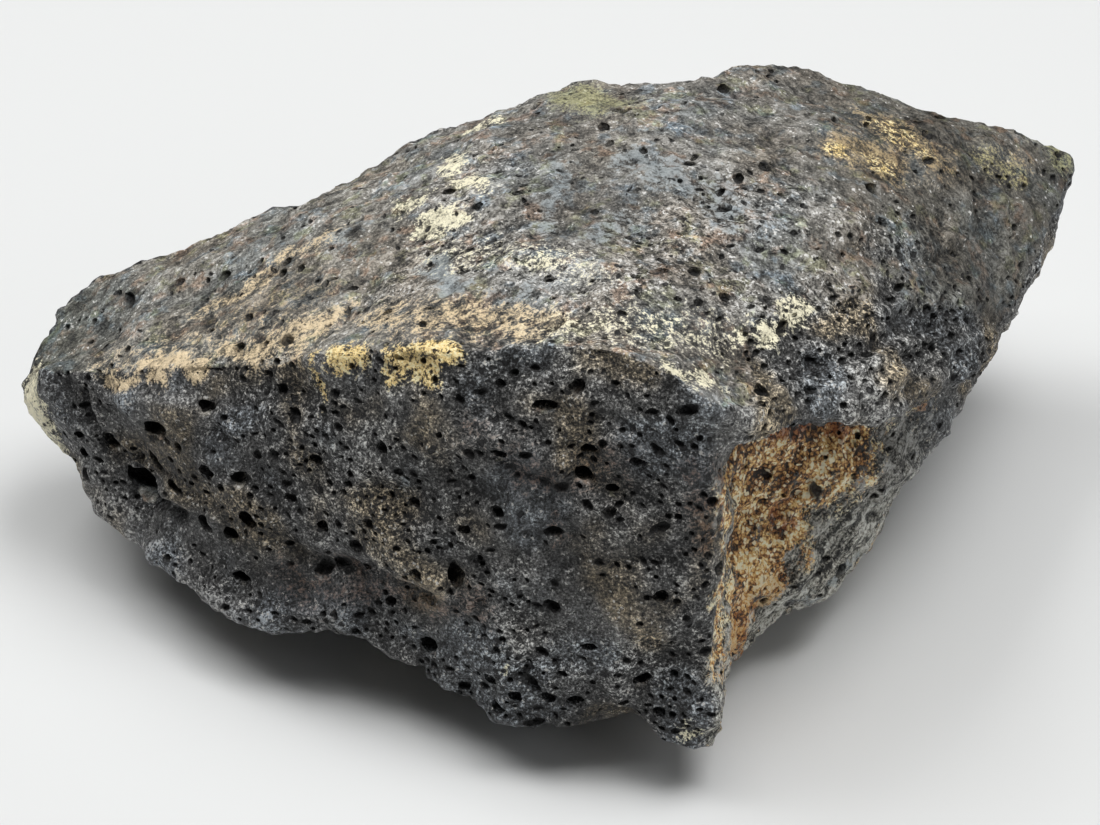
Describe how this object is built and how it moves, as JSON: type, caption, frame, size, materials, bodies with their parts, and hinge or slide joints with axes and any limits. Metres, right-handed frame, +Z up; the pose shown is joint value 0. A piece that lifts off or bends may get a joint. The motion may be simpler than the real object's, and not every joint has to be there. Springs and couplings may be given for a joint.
{
  "type": "meteorite",
  "caption": "Palm-sized dark stone with a domed crust, a steep bubbly front, a broken rusty hollow under a ledge and pointed ends.",
  "frame": {"origin": "on the ground under the middle of the stone's plan", "axes": "+X along the length from the low left tip to the right tip, +Y from the bubbly front to the back, +Z up from the face it rests on"},
  "size_m": [0.0936, 0.058, 0.038],
  "materials": {
    "stone": "matt dark stone, bubbly on the broken faces, with a brownish-grey crust stained ochre, cream and rust"
  },
  "bodies": {
    "root": {"stone": "stone"}
  },
  "joints": []
}
